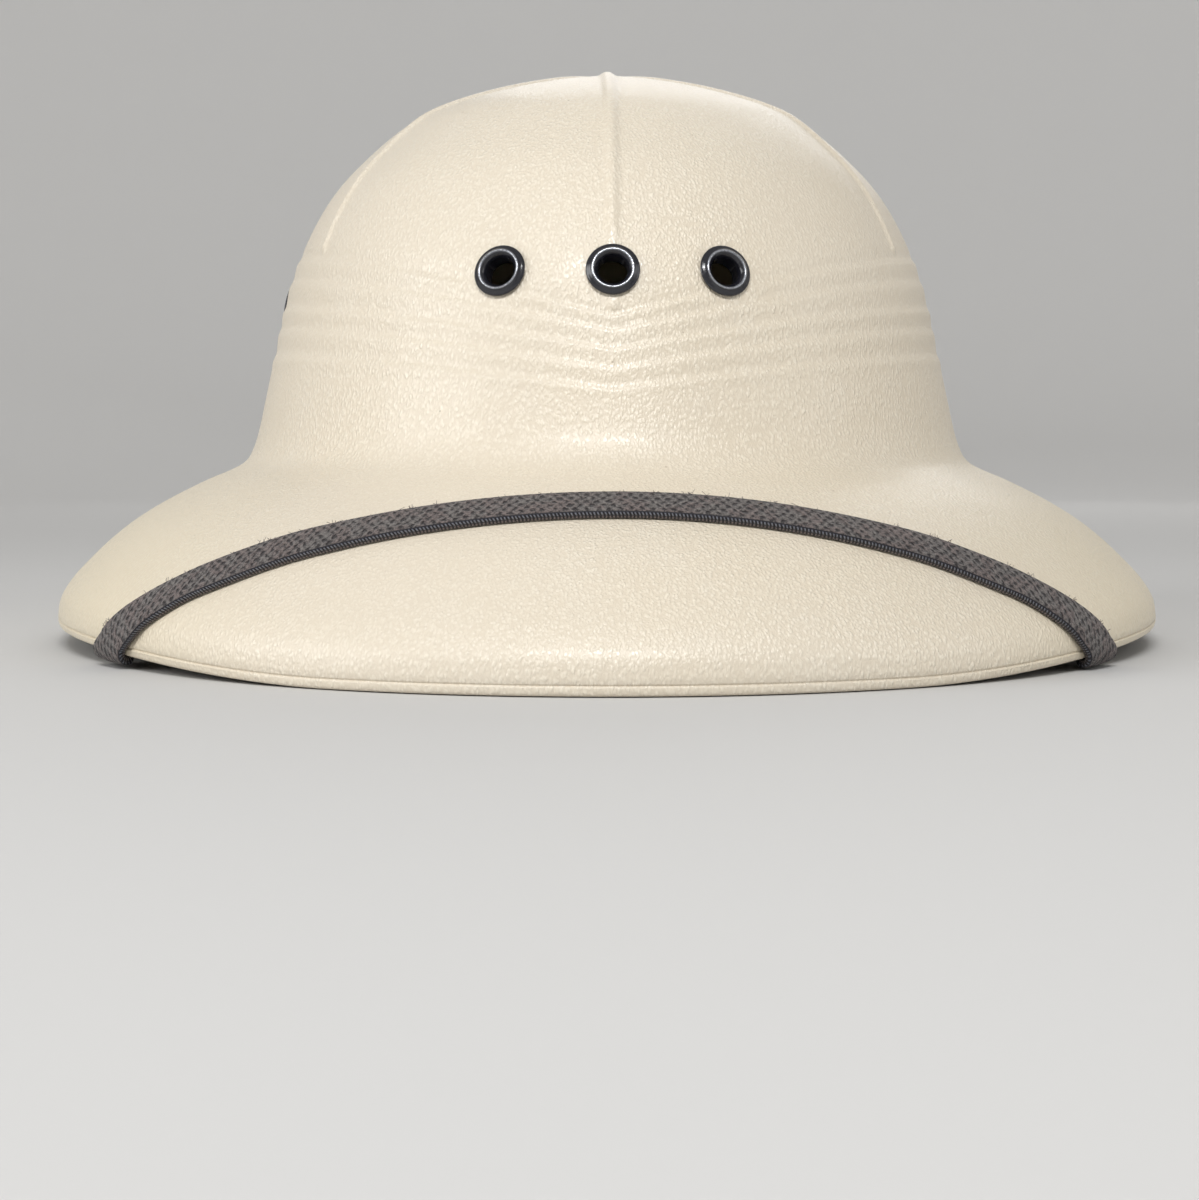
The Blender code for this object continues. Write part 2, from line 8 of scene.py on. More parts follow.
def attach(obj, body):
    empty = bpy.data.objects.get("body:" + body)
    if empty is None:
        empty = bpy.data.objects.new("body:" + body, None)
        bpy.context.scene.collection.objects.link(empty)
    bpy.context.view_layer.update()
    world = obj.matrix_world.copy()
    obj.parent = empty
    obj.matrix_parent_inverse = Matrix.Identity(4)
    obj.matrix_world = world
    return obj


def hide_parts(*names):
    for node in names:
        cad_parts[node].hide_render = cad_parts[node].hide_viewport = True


# Pith helmet, front towards -Y, rim on z = 0, everything in metres.
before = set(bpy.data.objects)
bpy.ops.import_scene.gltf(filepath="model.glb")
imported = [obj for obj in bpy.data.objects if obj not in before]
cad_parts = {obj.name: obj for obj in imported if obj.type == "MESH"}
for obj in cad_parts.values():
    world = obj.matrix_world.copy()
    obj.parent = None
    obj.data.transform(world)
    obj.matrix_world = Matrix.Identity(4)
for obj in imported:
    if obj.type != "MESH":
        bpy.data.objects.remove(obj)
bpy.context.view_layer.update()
print("frame loaded:", len(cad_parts), "nodes")

clearance = 0.0003


def deselectAll():
    if bpy.context.object and bpy.context.object.mode != "OBJECT":
        bpy.ops.object.mode_set(mode="OBJECT")
    bpy.ops.object.select_all(action="DESELECT")


def makeActive(piece):
    deselectAll()
    piece.select_set(True)
    bpy.context.view_layer.objects.active = piece


def applyModifiers(piece):
    makeActive(piece)
    for modifier in list(piece.modifiers):
        bpy.ops.object.modifier_apply(modifier=modifier.name)


def smoothUnder(piece, degrees):
    makeActive(piece)
    bpy.ops.object.shade_smooth_by_angle(angle=math.radians(degrees))


def placeInMesh(piece):
    makeActive(piece)
    bpy.ops.object.transform_apply(location=True, rotation=True, scale=True)


def addObject(name, data):
    piece = bpy.data.objects.new(name, data)
    bpy.context.scene.collection.objects.link(piece)
    return piece


def turnFacesOut(piece):
    makeActive(piece)
    bpy.ops.object.mode_set(mode="EDIT")
    bpy.ops.mesh.select_all(action="SELECT")
    bpy.ops.mesh.normals_make_consistent(inside=False)
    bpy.ops.object.mode_set(mode="OBJECT")


def ease(low, high, value):
    share = np.clip((value - low) / (high - low), 0.0, 1.0)
    return share * share * (3.0 - 2.0 * share)


def unit(vectors):
    return vectors / np.linalg.norm(vectors, axis=-1, keepdims=True)


# Draws a section in the XZ plane and spins it round Z. Each vertex keeps its number in the section.
def spunPiece(name, section, steps, closed):
    mesh = bpy.data.meshes.new(name)
    edges = [(k, k + 1) for k in range(len(section) - 1)]
    if closed:
        edges.append((len(section) - 1, 0))
    mesh.from_pydata([(radius, 0.0, height) for radius, height in section], edges, [])
    number = mesh.attributes.new("number", "FLOAT", "POINT")
    number.data.foreach_set("value", [float(k) for k in range(len(section))])
    piece = addObject(name, mesh)
    makeActive(piece)
    bpy.ops.object.mode_set(mode="EDIT")
    bpy.ops.mesh.select_all(action="SELECT")
    bpy.ops.mesh.spin(steps=steps, angle=2 * math.pi, center=(0, 0, 0), axis=(0, 0, 1))
    bpy.ops.mesh.select_all(action="SELECT")
    bpy.ops.mesh.remove_doubles(threshold=0.000002)
    bpy.ops.mesh.normals_make_consistent(inside=False)
    bpy.ops.object.mode_set(mode="OBJECT")
    return piece


class Wire:
    def __init__(self, tree, socket=None):
        self.tree = tree
        self.socket = socket

    def add(self, kind, settings=None, inputs=None, output=0):
        node = self.tree.nodes.new(kind)
        for name, value in (settings or {}).items():
            setattr(node, name, value)
        for name, value in (inputs or {}).items():
            if isinstance(value, Wire):
                self.tree.links.new(value.socket, node.inputs[name])
            else:
                node.inputs[name].default_value = value
        return Wire(self.tree, node.outputs[output])

    def maths(self, operation, *values):
        return self.add("ShaderNodeMath", {"operation": operation}, dict(enumerate(values)))

    def __add__(self, other):
        return self.maths("ADD", self, other)

    def __radd__(self, other):
        return self.maths("ADD", other, self)

    def __sub__(self, other):
        return self.maths("SUBTRACT", self, other)

    def __rsub__(self, other):
        return self.maths("SUBTRACT", other, self)

    def __mul__(self, other):
        return self.maths("MULTIPLY", self, other)

    def __rmul__(self, other):
        return self.maths("MULTIPLY", other, self)

    def __truediv__(self, other):
        return self.maths("DIVIDE", self, other)

    def ramped(self, low, high):
        return self.add(
            "ShaderNodeMapRange",
            {"interpolation_type": "SMOOTHSTEP"},
            {"Value": self, "From Min": low, "From Max": high},
        )

    def noise(self, where, scale, detail=2.0, rough=0.5):
        settings = {"Vector": where, "Scale": scale, "Detail": detail, "Roughness": rough}
        return self.add("ShaderNodeTexNoise", {"noise_dimensions": "3D"}, settings)

    def mixed(self, mask, first, second):
        return self.add("ShaderNodeMix", {"data_type": "RGBA"}, {0: mask, 6: first, 7: second}, 2)

    def bumped(self, depth):
        settings = {"Strength": 1.0, "Distance": depth, "Height": self}
        return self.add("ShaderNodeBump", {}, settings)


def shade(red, green, blue):
    return (red, green, blue, 1.0)


# New material with its Principled shader, and a wire to start from.
def newFinish(name, uniform):
    material = bpy.data.materials.new(name)
    material.use_nodes = True
    tree = material.node_tree
    shader = tree.nodes["Principled BSDF"]
    for socket, value in uniform.items():
        shader.inputs[socket].default_value = value
    return material, Wire(tree), shader


def feed(shader, socket, wire):
    wire.tree.links.new(wire.socket, shader.inputs[socket])


shell = {
    "brimWidth": 0.2892,
    "brimLength": 0.352,
    "crownWidth": 0.191,
    "crownLength": 0.233,
    "crownAhead": 0.0035,
    "crownTop": 0.1477,
    "crownBase": 0.0475,
    "wall": 0.002,
    "rimLift": 0.0046,
    "rimFlatTurn": 24.8,
    "rimThickness": 0.003,
    "rimRound": 0.001,
    "rimThickHeight": 0.006,
    "grooveHeight": 0.0022,
    "grooveWidth": 0.0009,
    "grooveDepth": 0.00035,
    "ribCount": 6,
    "ribWidth": 0.0058,
    "ribHeight": 0.0011,
    "ribEndWidth": 0.0036,
    "ribEndHeight": 0.0006,
    "foldDepth": 0.00052,
    "foldFade": 0.5,
    "foldStep": 0.18,
    "foldLead": 0.6,
    "foldTail": 1.5,
    "foldDipPower": 1.85,
    "columns": 288,
    "crowding": 0.72,
    "domeRows": 54,
    "wallRows": 12,
    "brimRows": 50,
    "brimInsideRows": 30,
    "crownInsideRows": 44,
    "poleRadius": 0.0004,
    # crown from its top: share of its half width, and of its rise
    "crownOut": [0, 0.083, 0.165, 0.331, 0.492, 0.584, 0.708, 0.778, 0.839, 0.889, 0.932, 0.956, 0.979],
    "crownUp": [1, 0.997, 0.986, 0.947, 0.894, 0.847, 0.741, 0.66, 0.554, 0.427, 0.249, 0.146, 0.051],
    # brim from the crown: share of its reach, and of its drop
    "brimOut": [0, 0.036, 0.1, 0.224, 0.428, 0.595, 0.723, 0.829, 0.921, 0.984, 1, 0.997],
    "brimDown": [0, 0.045, 0.085, 0.145, 0.262, 0.379, 0.494, 0.609, 0.722, 0.837, 0.94, 1],
    # heights of the five folds at the sides and at the V in front, in shares of the rise, and depths
    "foldSide": [0.510, 0.451, 0.381, 0.327, 0.258],
    "foldFront": [0.315, 0.282, 0.240, 0.197, 0.151],
    "foldDeep": [1.0, 0.9, 1.0, 0.9, 1.1],
}


# Half width, reach to the front, reach to the back, height and share of the rim's lift, from the top.
def shellStations():
    halfWidth, halfLength = shell["crownWidth"] / 2, shell["crownLength"] / 2
    base, rise = shell["crownBase"], shell["crownTop"] - shell["crownBase"]
    rows = []
    for o, u in zip(shell["crownOut"], shell["crownUp"]):
        rows.append((o * halfWidth, o * halfLength, o * halfLength, base + u * rise, 0.0))
    aside = shell["brimWidth"] / 2 - halfWidth
    ahead = shell["brimLength"] / 2 - shell["crownAhead"] - halfLength
    behind = shell["brimLength"] / 2 + shell["crownAhead"] - halfLength
    for o, d in zip(shell["brimOut"], shell["brimDown"]):
        front, back = halfLength + o * ahead, halfLength + o * behind
        rows.append((halfWidth + o * aside, front, back, base * (1 - d), d))
    return np.array(rows, float)


# Smooth curve through the stations, in fine steps of the way down the side of the shell.
def fineProfile(stations, steps=60):
    lengths = np.hypot(np.diff(stations[:, 0]), np.diff(stations[:, 3]))
    knots = np.concatenate(([0.0], np.cumsum(lengths)))
    slopes = np.empty_like(stations)
    for k in range(len(knots)):
        before, after = max(k - 1, 0), min(k + 1, len(knots) - 1)
        slopes[k] = (stations[after] - stations[before]) / (knots[after] - knots[before])
    ways, rows = [], []
    for k in range(len(knots) - 1):
        span = knots[k + 1] - knots[k]
        for s in np.arange(steps + (k == len(knots) - 2)) / steps:
            ways.append(knots[k] + s * span)
            rows.append(
                (2 * s**3 - 3 * s**2 + 1) * stations[k]
                + (s**3 - 2 * s**2 + s) * span * slopes[k]
                + (3 * s**2 - 2 * s**3) * stations[k + 1]
                + (s**3 - s**2) * span * slopes[k + 1]
            )
    return knots, np.array(ways), np.array(rows)


knots, fineWays, fineRows = fineProfile(shellStations())
crownLine, rimLine = knots[len(shell["crownOut"])], knots[-1]


def profileAt(way, column):
    return np.interp(way, fineWays, fineRows[:, column])


def wayAtHeight(height):
    return np.interp(-np.asarray(height), -fineRows[:, 3], fineWays)


def wayAtHalfWidth(halfWidth):
    return float(np.interp(halfWidth, fineRows[:, 0], fineWays))


# Point of the plain shell outside. The turn goes from the front towards +X, the way from the top down.
def shellPoint(turn, way):
    turn, way = np.broadcast_arrays(np.asarray(turn, float), np.asarray(way, float))
    reach = np.where(np.cos(turn) > 0, profileAt(way, 1), profileAt(way, 2))
    flat = math.sin(math.radians(shell["rimFlatTurn"]))
    lift = shell["rimLift"] * ease(flat, 1.0, np.abs(np.sin(turn)))
    across = profileAt(way, 0) * np.sin(turn)
    ahead = shell["crownAhead"] + reach * np.cos(turn)
    return np.stack((across, -ahead, profileAt(way, 3) + profileAt(way, 4) * lift), axis=-1)


# Change of a surface's point for each radian of turn and for each metre of way.
def slopesOf(surface, turn, way, lowest=math.inf):
    small = 0.0001
    low, high = np.maximum(way - small, small), np.minimum(way + small, lowest)
    roundIt = (surface(turn + small, way) - surface(turn - small, way)) / (2 * small)
    downIt = (surface(turn, high) - surface(turn, low)) / np.expand_dims(np.asarray(high - low), -1)
    return roundIt, downIt


def shellNormal(turn, way):
    way = np.maximum(way, 0.001)
    roundIt, downIt = slopesOf(shellPoint, turn, way, rimLine)
    return unit(np.cross(downIt, roundIt))


def foldHeights(turn):
    fromFront = np.abs((turn + math.pi) % (2 * math.pi) - math.pi)
    dip = np.maximum(0.0, 1.0 - fromFront / (math.pi / 2)) ** shell["foldDipPower"]
    shares = [side + (front - side) * dip for side, front in zip(shell["foldSide"], shell["foldFront"])]
    above, below = shares[0] - shares[1], shares[3] - shares[4]
    shares = [shares[0] + above, *shares, shares[4] - below, shares[4] - 2 * below]
    return shell["crownBase"] + (shell["crownTop"] - shell["crownBase"]) * np.array(shares)


foldPlaces = np.arange(-1, 7)


# Way down to a place in the folds: 0 is the first ridge, 4 the last.
def wayAtFold(turn, place):
    heights = foldHeights(turn)
    return wayAtHeight([np.interp(place, foldPlaces, heights[:, k]) for k in range(len(turn))])


def foldPlaceOf(turn, height):
    heights = foldHeights(turn)
    return np.array([np.interp(-height[k], -heights[:, k], foldPlaces) for k in range(len(turn))])


# Each fold is a soft step outwards, then falls back, fast at first, to the next one.
def foldRelief(place):
    step, places, heights = shell["foldStep"], [-shell["foldLead"]], [0.0]
    for k, deep in enumerate(shell["foldDeep"]):
        places += [k - step, k + step, k + 0.45]
        heights += [-deep / 2, deep / 2, deep * 0.05]
    places.append(4 + shell["foldTail"])
    heights.append(0.0)
    shifted = [np.interp(place + shift, places, heights) for shift in np.linspace(-0.09, 0.09, 7)]
    return shell["foldDepth"] * np.mean(shifted, axis=0)


eyelet = {
    "radius": 0.0062,
    "crestRadius": 0.00465,
    "crestHeight": 0.0013,
    "holeRadius": 0.00335,
    "tubeWall": 0.0004,
    "backRadius": 0.0051,
    "backRoom": 0.0011,
    "seatRoom": 0.00015,
    "seatFade": 0.0025,
    "rise": 0.042,
    "spacing": 0.0255,
    "sideTurn": 93.5,
    "sides": 64,
}
seatWay = float(wayAtHeight(shell["crownBase"] + eyelet["rise"]))
seatTurn = math.asin(eyelet["spacing"] / float(profileAt(seatWay, 0)))
seats = {
    "front_middle": 0.0,
    "front_left": seatTurn,
    "front_right": -seatTurn,
    "side_left": math.radians(eyelet["sideTurn"]),
    "side_right": -math.radians(eyelet["sideTurn"]),
}


# Height of ribs and folds over the plain shell, for a row of turns.
def reliefOf(turn, way):
    point = shellPoint(turn, way)
    place = foldPlaceOf(turn, point[:, 2])
    fromFront = np.abs((turn + math.pi) % (2 * math.pi) - math.pi)
    height, ribs = foldRelief(place), np.zeros(len(turn))
    height *= 1 - shell["foldFade"] * (1 - ease(0.03, 0.26, fromFront))
    for number in range(shell["ribCount"]):
        ribTurn = 2 * math.pi * number / shell["ribCount"]
        away = np.abs((turn - ribTurn + math.pi) % (2 * math.pi) - math.pi)
        ribEnd = wayAtFold(np.array([ribTurn]), 0.0)[0]
        share = np.minimum(way / ribEnd, 1.0)
        reach = profileAt(way, 1 if math.cos(ribTurn) > 0 else 2)
        rate = np.hypot(profileAt(way, 0) * math.cos(ribTurn), reach * math.sin(ribTurn))
        half = (shell["ribWidth"] + (shell["ribEndWidth"] - shell["ribWidth"]) * share) / 2
        tall = shell["ribHeight"] + (shell["ribEndHeight"] - shell["ribHeight"]) * share
        ribs = np.maximum(ribs, tall * (1 - ease(0.12, 1.0, away * rate / half)))
    height = height + ribs * (1 - ease(-shell["foldLead"], -shell["foldStep"], place))
    toSeats = [np.linalg.norm(point - shellPoint(seat, seatWay), axis=-1) for seat in seats.values()]
    nearest = np.min(toSeats, axis=0)
    edge = eyelet["radius"] + clearance
    return height * ease(edge, edge + eyelet["seatFade"], nearest)


# Rows of ways outside, each for all columns: dome, folds, wall, brim, groove.
def outsideRows(turns):
    folds = [-0.6, -0.48, -0.36, -0.25]
    for k in range(5):
        folds += [k + s for s in (-0.17, -0.12, -0.075, -0.035, 0, 0.035, 0.075, 0.12, 0.17)]
        folds += [k + s for s in (0.27, 0.42, 0.58, 0.73)]
    folds = [*folds[:-1], 4.9, 5.2, 5.5]
    foldRows = [wayAtFold(turns, place) for place in folds]
    start, everyTurn = wayAtHalfWidth(shell["poleRadius"]), np.ones(len(turns))
    rows = [start + (foldRows[0] - start) * s for s in np.linspace(0, 1, shell["domeRows"])[:-1]]
    rows += foldRows
    shares = np.linspace(0, 1, shell["wallRows"])[1:-1]
    rows += [foldRows[-1] + (crownLine - foldRows[-1]) * s for s in shares]
    grooveHeights = shell["grooveHeight"] + np.linspace(0.5, -0.5, 7) * shell["grooveWidth"]
    groove = [wayAtHeight(height) for height in grooveHeights]
    shares = np.linspace(0, 1, shell["brimRows"])[:-1]
    rows += [crownLine + (groove[0] - crownLine) * s * everyTurn for s in shares]
    rows += [way * everyTurn for way in groove]
    return rows


# All points of the shell, row by row, from the top outside, round the rim, to the top inside.
def shellPoints():
    plain = np.arange(shell["columns"]) * 2 * math.pi / shell["columns"]
    turns = plain - shell["crowding"] / shell["ribCount"] * np.sin(shell["ribCount"] * plain)
    rows = []
    for way in outsideRows(turns):
        height = reliefOf(turns, way)
        overRim = profileAt(way, 3)
        fromGroove = np.abs(overRim - shell["grooveHeight"]) / (shell["grooveWidth"] / 2)
        height = height - shell["grooveDepth"] * (1 - ease(0.0, 1.0, fromGroove))
        rows.append(shellPoint(turns, way) + shellNormal(turns, way) * height[:, None])
    edge = shellPoint(turns, np.full(len(turns), rimLine))
    out = shellNormal(turns, np.full(len(turns), rimLine))
    out[:, 2] = 0.0
    out = unit(out)
    up = np.array((0.0, 0.0, 1.0))
    radius, thick = shell["rimRound"], shell["rimThickness"]
    fillet = [math.radians(angle) for angle in (0, 22, 45, 67, 90)]
    foot = [(radius - radius * math.cos(a), radius - radius * math.sin(a)) for a in fillet]
    foot += [(thick - deep, rise) for deep, rise in foot[::-1]]
    rows += [edge - out * deep + up * rise for deep, rise in foot]
    inner = [*np.linspace(wayAtHeight(shell["rimThickHeight"]), crownLine, shell["brimInsideRows"])[:-1]]
    inner += [*np.linspace(crownLine, wayAtHalfWidth(shell["poleRadius"]), shell["crownInsideRows"])]
    for way in inner:
        way = np.full(len(turns), way)
        rows.append(shellPoint(turns, way) - shellNormal(turns, way) * shell["wall"])
    return np.array(rows)


def makeShell():
    points = shellPoints()
    count = len(points)
    # a stand-in section, which the spin turns into a shell of the right rows and columns
    section = [(0.02 + 0.0005 * k, -0.0002 * k) for k in range(count)]
    piece = spunPiece("helmetShell", section, shell["columns"], closed=False)
    mesh = piece.data
    number = np.zeros(len(mesh.vertices))
    mesh.attributes["number"].data.foreach_get("value", number)
    spots = np.zeros(len(mesh.vertices) * 3)
    mesh.vertices.foreach_get("co", spots)
    spots = spots.reshape(-1, 3)
    angle = np.arctan2(spots[:, 0], -spots[:, 1])
    column = np.round(angle / (2 * math.pi) * shell["columns"]).astype(int) % shell["columns"]
    row = np.round(number).astype(int)
    mesh.vertices.foreach_set("co", points[row, column].ravel())
    # the rows at the bottom of the groove are marked for the painted shade that the shell's finish puts
    # there
    last = len(outsideRows(np.zeros(1))) - 1
    paintedCreaseShade = mesh.attributes.new("paintedCreaseShade", "FLOAT", "POINT")
    fromBottom = np.abs(row - (last - 3))
    paintedCreaseShade.data.foreach_set("value", np.select([fromBottom == 0, fromBottom == 1], [1.0, 0.25], 0.0))
    # a face closes each pole
    makeActive(piece)
    bpy.ops.object.mode_set(mode="EDIT")
    bpy.ops.mesh.select_all(action="DESELECT")
    bpy.ops.object.mode_set(mode="OBJECT")
    for vertex in mesh.vertices:
        vertex.select = row[vertex.index] in (0, count - 1)
    bpy.ops.object.mode_set(mode="EDIT")
    bpy.ops.mesh.select_mode(type="VERT")
    bpy.ops.mesh.edge_face_add()
    bpy.ops.object.mode_set(mode="OBJECT")
    turnFacesOut(piece)
    return piece, count


def cutEyeletHoles(piece):
    radius, depth = eyelet["holeRadius"] + eyelet["tubeWall"] + clearance, 6 * shell["wall"]
    punches = []
    for turn in seats.values():
        bpy.ops.mesh.primitive_cylinder_add(vertices=eyelet["sides"], radius=radius, depth=depth)
        punch = bpy.context.object
        punch.matrix_world = seatFrame(turn)
        placeInMesh(punch)
        punches.append(punch)
    makeActive(punches[0])
    for punch in punches:
        punch.select_set(True)
    bpy.ops.object.join()
    punch = bpy.context.object
    cut = piece.modifiers.new("eyelet holes", "BOOLEAN")
    cut.operation = "DIFFERENCE"
    cut.solver = "EXACT"
    cut.object = punch
    applyModifiers(piece)
    bpy.data.objects.remove(punch)


# Stands a piece's Z along the shell's outward normal at an eyelet's middle.
def seatFrame(turn):
    turned = Vector(shellNormal(turn, seatWay)).to_track_quat("Z", "Y").to_matrix().to_4x4()
    return Matrix.Translation(Vector(shellPoint(turn, seatWay))) @ turned


plastic = {
    "ivory": shade(0.86, 0.79, 0.66),
    "warm": shade(0.85, 0.77, 0.625),
    "pale": shade(0.875, 0.815, 0.70),
    "paintedCreaseShade": shade(0.42, 0.33, 0.235),
    "speck": shade(0.30, 0.23, 0.16),
    "aged": shade(0.89, 0.80, 0.60),
    "inside": shade(0.76, 0.66, 0.49),
    "roughness": 0.24,
    "wormSize": 0.00082,
    "pebbleSize": 0.00084,
    "grainDepth": 0.00019,
    "shine": 0.55,
}


def shellFinish():
    material, wire, shader = newFinish("ivory grained plastic", {"IOR": 1.52, "Coat Roughness": 0.17})
    where = wire.add("ShaderNodeTexCoord", output=3)
    # slow changes of tone, as old plastic has
    broad = wire.noise(where, 9.0, 3.0, 0.55)
    fine = wire.noise(where, 60.0, 4.0, 0.6)
    tone = wire.mixed(broad.ramped(0.35, 0.7), plastic["ivory"], plastic["warm"])
    tone = wire.mixed(fine.ramped(0.5, 0.75) * 0.35, tone, plastic["pale"])
    # the sides have yellowed a little
    aside = wire.maths("ABSOLUTE", wire.add("ShaderNodeSeparateXYZ", {}, {0: where}, 0))
    tone = wire.mixed(aside.ramped(0.065, 0.135) * 0.9, tone, plastic["aged"])
    # leather grain: worm-like ridges and pebbles, longer down the sides than round them
    stray = wire.add("ShaderNodeTexNoise", {}, {"Vector": where, "Scale": 420.0, "Detail": 2.0}, 1)
    moved = wire.add("ShaderNodeVectorMath", {"operation": "SCALE"}, {0: stray, "Scale": 0.00035})
    spot = wire.add("ShaderNodeVectorMath", {"operation": "ADD"}, {0: where, 1: moved})
    spot = wire.add("ShaderNodeVectorMath", {"operation": "MULTIPLY"}, {0: spot, 1: (1.0, 1.0, 0.55)})
    band = wire.noise(spot, 1 / plastic["wormSize"], 1.0, 0.45)
    worm = wire.maths("ABSOLUTE", band - 0.5).ramped(0.0, 0.2)
    cells = wire.add("ShaderNodeTexVoronoi", {}, {"Vector": spot, "Scale": 1 / plastic["pebbleSize"]})
    pebble = 1 - cells.ramped(0.18, 0.62)
    firm = wire.noise(where, 16.0, 2.0).ramped(0.3, 0.7) * 0.45 + 0.55
    grain = (worm * 0.35 + pebble * 0.65) * firm
    # painted shade darkens the creases between the grain's ridges and pebbles
    tone = wire.mixed(0.34 * (1 - grain), tone, plastic["paintedCreaseShade"])
    # painted shade darkens the groove above the rim, and a few specks lie here and there
    paintedCreaseShade = wire.add("ShaderNodeAttribute", {"attribute_name": "paintedCreaseShade"}, output=2)
    tone = wire.mixed(paintedCreaseShade * broad.ramped(0.3, 0.7) * 0.42, tone, plastic["paintedCreaseShade"])
    specks = wire.add("ShaderNodeTexVoronoi", {}, {"Vector": where, "Scale": 80.0})
    tone = wire.mixed(0.55 * (1 - specks.ramped(0.012, 0.028)), tone, plastic["speck"])
    feed(shader, "Base Color", tone)
    feed(shader, "Roughness", plastic["roughness"] + 0.08 * fine + 0.10 * (1 - grain))
    feed(shader, "Coat Weight", plastic["shine"] * grain)  # the tops of the grain are worn smooth
    feed(shader, "Normal", grain.bumped(plastic["grainDepth"]))
    return material


def insideFinish():
    material, wire, shader = newFinish("plain plastic inside", {"IOR": 1.46})
    where = wire.add("ShaderNodeTexCoord", output=3)
    broad = wire.noise(where, 14.0, 3.0, 0.55)
    tone = wire.mixed(broad.ramped(0.3, 0.75), plastic["warm"], plastic["inside"])
    feed(shader, "Base Color", tone)
    feed(shader, "Roughness", 0.55 + 0.12 * broad)
    flow = wire.noise(where, 320.0, 3.0, 0.6)
    feed(shader, "Normal", flow.bumped(0.00006))
    return material


print("making the shell")
helmetShell, rowCount = makeShell()
innerFrom = rowCount - shell["brimInsideRows"] - shell["crownInsideRows"]
cutEyeletHoles(helmetShell)
helmetShell.data.materials.append(shellFinish())
helmetShell.data.materials.append(insideFinish())
numbers = [0.0] * len(helmetShell.data.vertices)
helmetShell.data.attributes["number"].data.foreach_get("value", numbers)
for face in helmetShell.data.polygons:
    if min(numbers[k] for k in face.vertices) >= innerFrom:
        face.material_index = 1
smoothUnder(helmetShell, 40)
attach(helmetShell, "root")
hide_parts("shell")
print("shell:", len(helmetShell.data.polygons), "faces")


def eyeletSection():
    tube = eyelet["holeRadius"] + eyelet["tubeWall"]
    low = clearance + eyelet["seatRoom"]
    hole, crest = eyelet["holeRadius"], eyelet["crestRadius"]
    edge, back = eyelet["radius"], eyelet["backRadius"]
    top = low + eyelet["crestHeight"]
    inside = -(shell["wall"] + eyelet["backRoom"])
    foot = inside - eyelet["tubeWall"]
    return [
        (tube, low),
        ((tube + edge) / 2, low),
        (edge - 0.0001, low),
        (edge, low + 0.00008),
        (edge - 0.00003, low + 0.00024),
        (edge - 0.00025, low + 0.00046),
        (edge - 0.0006, low + 0.00064),
        (edge - 0.0010, low + 0.00083),
        (crest + 0.0003, top - 0.00020),
        (crest + 0.00016, top - 0.00005),
        (crest, top),
        (crest - 0.00018, top - 0.00004),
        (crest - 0.00036, top - 0.00022),
        (hole + 0.00042, low + 0.00058),
        (hole + 0.00018, low + 0.00015),
        (hole + 0.00004, low - 0.0004),
        (hole, low - 0.0010),
        (hole, foot + 0.0004),
        (hole + 0.0001, foot + 0.0001),
        (hole + 0.0004, foot),
        (back - 0.0002, foot),
        (back, foot + 0.0002),
        (back - 0.0001, inside),
        (tube, inside),
    ]


enamel = {
    "paintedHighlightRows": {9: 0.55, 10: 1.0, 11: 0.6},  # rows of the section round the crest, where bare metal paints a highlight ring
    "black": shade(0.014, 0.014, 0.019),
    "paintedHighlightMetal": shade(0.55, 0.57, 0.62),
    "roughness": 0.13,
}


def enamelFinish():
    material, wire, shader = newFinish("black enamelled metal", {"IOR": 1.6})
    where = wire.add("ShaderNodeTexCoord", output=3)
    smear = wire.noise(where, 900.0, 4.0, 0.65)
    scratch = wire.noise(where, 2600.0, 3.0, 0.7)
    paintedCrestHighlight = wire.add("ShaderNodeAttribute", {"attribute_name": "paintedCrestHighlight"}, output=2)
    # bare metal round the crest stands in for a painted highlight ring, broken here and there by
    # scratches
    paintedHighlightMetal = paintedCrestHighlight * (0.35 + 0.65 * scratch.ramped(0.3, 0.6))
    feed(shader, "Base Color", wire.mixed(paintedHighlightMetal, enamel["black"], enamel["paintedHighlightMetal"]))
    feed(shader, "Metallic", paintedHighlightMetal)
    feed(shader, "Roughness", enamel["roughness"] + 0.16 * smear.ramped(0.4, 0.75) + 0.12 * paintedHighlightMetal)
    feed(shader, "Normal", smear.bumped(0.00003))
    return material


print("making the eyelets")
eyeletModel = spunPiece("eyeletModel", eyeletSection(), eyelet["sides"], closed=True)
eyeletModel.data.materials.append(enamelFinish())
# the rows round the crest are marked for the painted highlight
paintedCrestHighlight = eyeletModel.data.attributes.new("paintedCrestHighlight", "FLOAT", "POINT")
numbers = [0.0] * len(eyeletModel.data.vertices)
eyeletModel.data.attributes["number"].data.foreach_get("value", numbers)
paintedCrestHighlight.data.foreach_set("value", [enamel["paintedHighlightRows"].get(round(n), 0.0) for n in numbers])
finer = eyeletModel.modifiers.new("finer", "SUBSURF")
finer.levels = finer.render_levels = 1
applyModifiers(eyeletModel)
smoothUnder(eyeletModel, 60)
for place, turn in seats.items():
    copy = addObject("ventEyelet_" + place, eyeletModel.data.copy())
    copy.matrix_world = seatFrame(turn)
    placeInMesh(copy)
    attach(copy, "root")
    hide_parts("eyelet_" + place)
bpy.data.objects.remove(eyeletModel)
print("eyelets:", len(seats))


